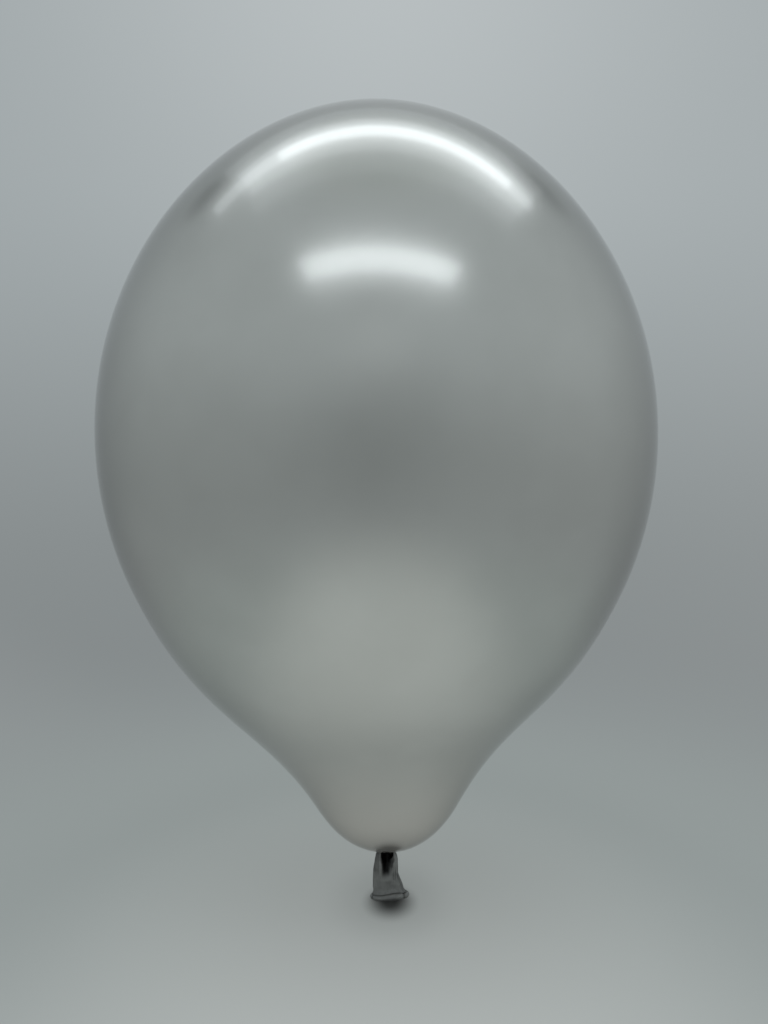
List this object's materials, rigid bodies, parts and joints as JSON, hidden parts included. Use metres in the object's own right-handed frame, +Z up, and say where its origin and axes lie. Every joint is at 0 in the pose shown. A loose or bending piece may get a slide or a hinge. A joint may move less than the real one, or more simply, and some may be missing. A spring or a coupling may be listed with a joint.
{
  "type": "metallic latex balloon",
  "caption": "Inflated latex party balloon in pearl silver, round above with a tapering foot, tied by its own neck, with a folded tail and a rolled lip.",
  "frame": {"origin": "middle of the knot, where a ribbon or a hand holds the balloon", "axes": "+Z up from the knot to the crown, +X to the viewer's right, -Y towards the viewer of the picture"},
  "size_m": [0.305, 0.305, 0.446],
  "materials": {
    "inflated_latex": "stretched pearl silver latex, metallic with a soft satin gloss",
    "slack_latex": "unstretched silver latex, darker gunmetal grey, satin"
  },
  "bodies": {
    "root": {"envelope": "inflated_latex", "neck_stem": "slack_latex", "knot_loop": "slack_latex", "tail": "slack_latex", "lip": "slack_latex"}
  },
  "joints": []
}
